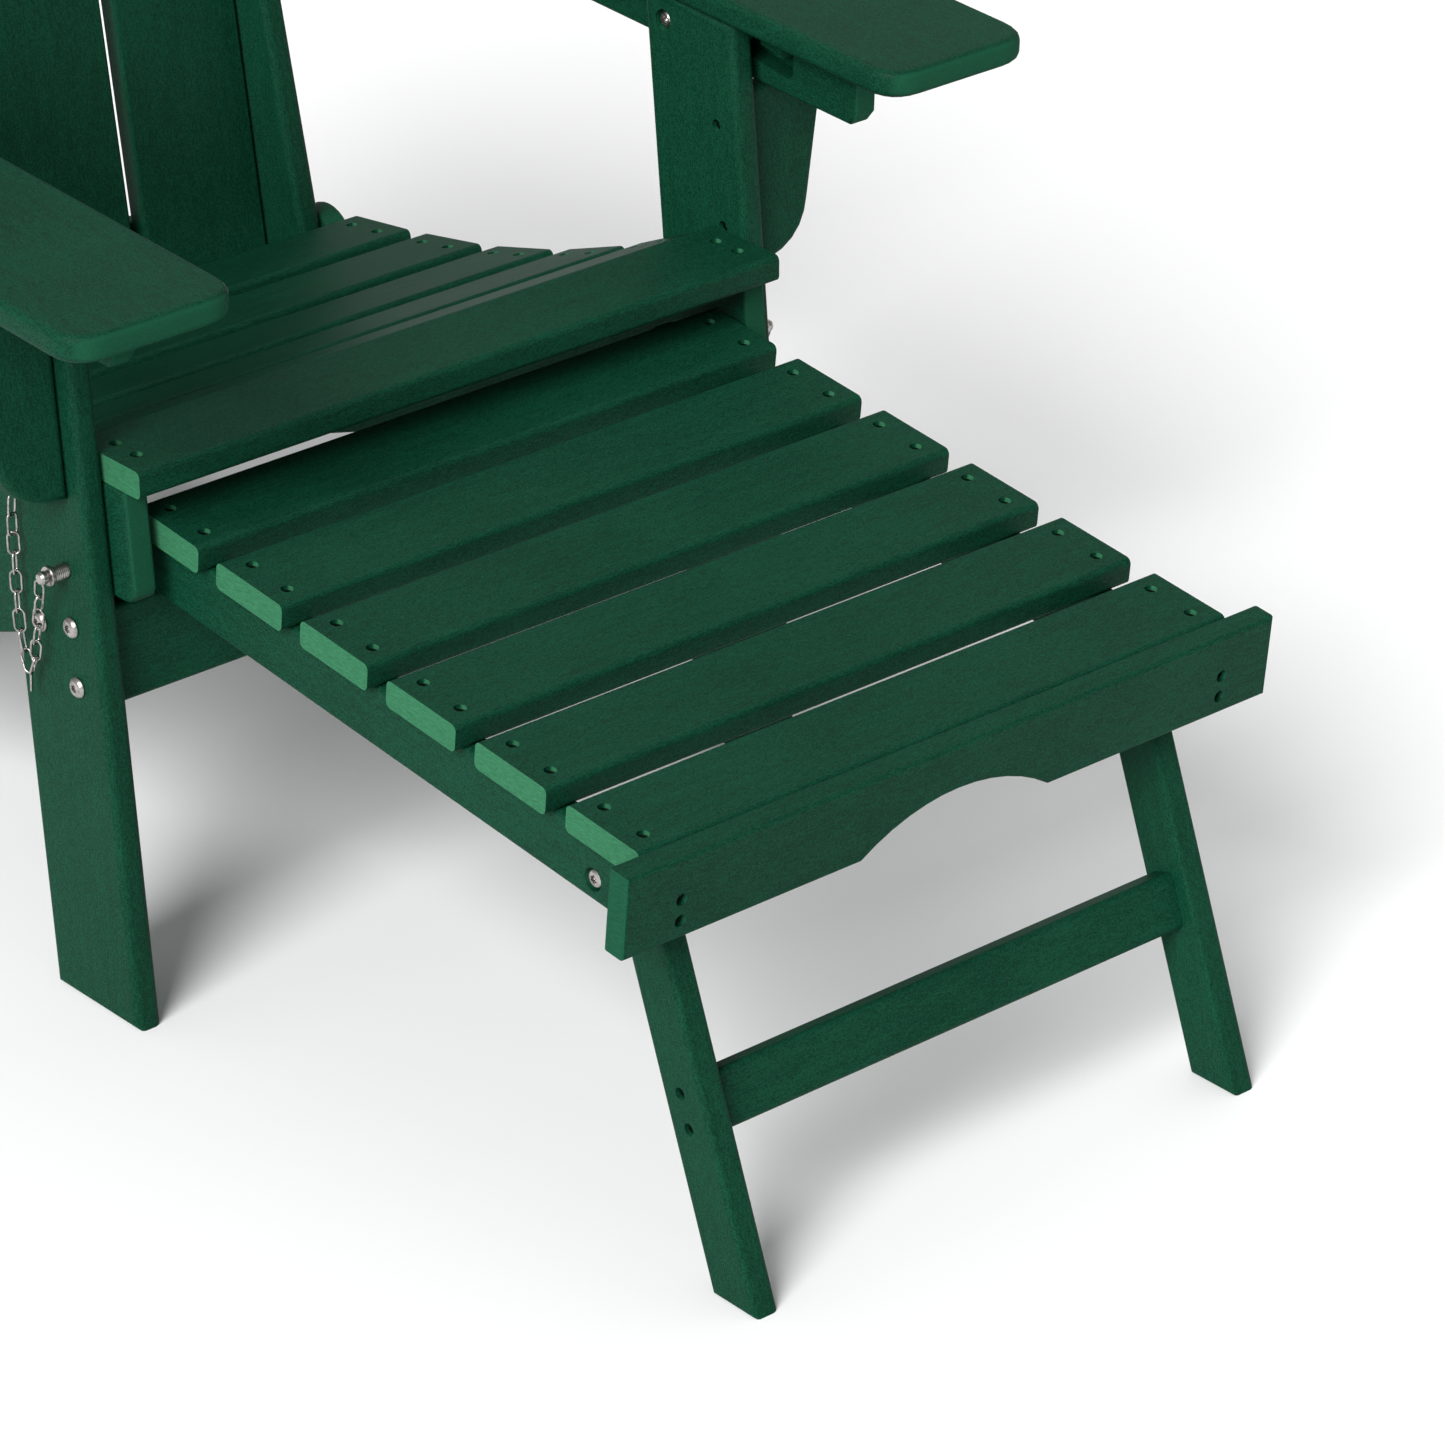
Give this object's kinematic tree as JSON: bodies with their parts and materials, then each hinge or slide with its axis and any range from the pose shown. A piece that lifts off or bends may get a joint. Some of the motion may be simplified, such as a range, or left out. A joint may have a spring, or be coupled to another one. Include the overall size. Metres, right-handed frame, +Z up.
{
  "type": "reclining adirondack chair with footrest",
  "caption": "Low garden lounge chair of thick rounded plastic boards, with broad flat arms, a slatted back that reclines on notched arms, and a slatted pull-out footrest on folding legs",
  "frame": {"origin": "on the floor, under the middle of the whole chair's outline with the footrest out", "axes": "+Z up, the sitter faces -Y, +X is the right of a person who faces +Y; left and right nodes are named by -X and +X"},
  "size_m": [0.783, 1.321, 0.8933],
  "materials": {
    "plastic_board": "satin, lightly brushed along the boards, sawn ends paler",
    "stainless_steel": "polished stainless"
  },
  "bodies": {
    "base": {"left_front_leg": "plastic_board", "left_seat_stringer": "plastic_board", "left_arm_bracket": "plastic_board", "left_arm_stud": "stainless_steel", "left_back_hinge_bolt": "stainless_steel", "left_leg_bolt_1": "stainless_steel", "left_leg_bolt_2": "stainless_steel", "left_leg_bolt_3": "stainless_steel", "left_chain": "stainless_steel", "right_front_leg": "plastic_board", "right_seat_stringer": "plastic_board", "right_arm_bracket": "plastic_board", "right_arm_stud": "stainless_steel", "right_back_hinge_bolt": "stainless_steel", "right_leg_bolt_1": "stainless_steel", "right_leg_bolt_2": "stainless_steel", "right_leg_bolt_3": "stainless_steel", "right_chain": "stainless_steel", "front_crossbar": "plastic_board", "rear_crossbar": "plastic_board", "seat_slat_1": "plastic_board", "seat_slat_2": "plastic_board", "seat_slat_3": "plastic_board", "seat_slat_4": "plastic_board", "seat_slat_5": "plastic_board", "seat_slat_6": "plastic_board"},
    "back": {"back_slat_1": "plastic_board", "back_slat_2": "plastic_board", "back_slat_3": "plastic_board", "back_slat_4": "plastic_board", "back_lower_rail": "plastic_board", "back_middle_rail": "plastic_board", "back_upper_rail": "plastic_board", "left_back_stile": "plastic_board", "right_back_stile": "plastic_board"},
    "left_arm": {"left_arm_board": "plastic_board", "left_arm_rail": "plastic_board", "left_arm_pivot_block": "plastic_board", "left_arm_pivot_bolt": "stainless_steel"},
    "right_arm": {"right_arm_board": "plastic_board", "right_arm_rail": "plastic_board", "right_arm_pivot_block": "plastic_board", "right_arm_pivot_bolt": "stainless_steel"},
    "footrest": {"foot_slat_1": "plastic_board", "foot_slat_2": "plastic_board", "foot_slat_3": "plastic_board", "foot_slat_4": "plastic_board", "foot_slat_5": "plastic_board", "foot_slat_6": "plastic_board", "foot_apron": "plastic_board", "left_foot_rail": "plastic_board", "right_foot_rail": "plastic_board", "left_foot_hinge_bolt": "stainless_steel", "right_foot_hinge_bolt": "stainless_steel"},
    "foot_legs": {"left_foot_leg": "plastic_board", "right_foot_leg": "plastic_board", "foot_crossbar": "plastic_board"},
    "left_pin_body": {"left_pin": "stainless_steel"},
    "right_pin_body": {"right_pin": "stainless_steel"}
  },
  "joints": [
    {"name": "back_recline", "type": "hinge", "parent": "base", "child": "back", "pos_m": [0, 0.36654, 0.2505], "axis": [-1, 0, 0], "range_deg": [0, 20]},
    {"name": "left_arm_hinge", "type": "hinge", "parent": "back", "child": "left_arm", "pos_m": [-0.2475, 0.43754, 0.54385], "axis": [-1, 0, 0], "range_deg": [-16, 0]},
    {"name": "right_arm_hinge", "type": "hinge", "parent": "back", "child": "right_arm", "pos_m": [0.2475, 0.43754, 0.54385], "axis": [-1, 0, 0], "range_deg": [-16, 0]},
    {"name": "footrest_tilt", "type": "hinge", "parent": "base", "child": "footrest", "pos_m": [0, -0.07146, 0.287], "axis": [-1, 0, 0], "range_deg": [0, 20]},
    {"name": "foot_leg_fold", "type": "hinge", "parent": "footrest", "child": "foot_legs", "pos_m": [0, -0.53386, 0.2586], "axis": [1, 0, 0], "range_deg": [0, 100]},
    {"name": "left_pin_pull", "type": "slide", "parent": "base", "child": "left_pin_body", "axis": [-1, 0, 0], "range_m": [0, 0.045]},
    {"name": "right_pin_pull", "type": "slide", "parent": "base", "child": "right_pin_body", "axis": [1, 0, 0], "range_m": [0, 0.045]}
  ],
  "couplings": [
    {"joint": "left_arm_hinge", "follows": "back_recline", "ratio": -0.707},
    {"joint": "right_arm_hinge", "follows": "back_recline", "ratio": -0.707}
  ]
}
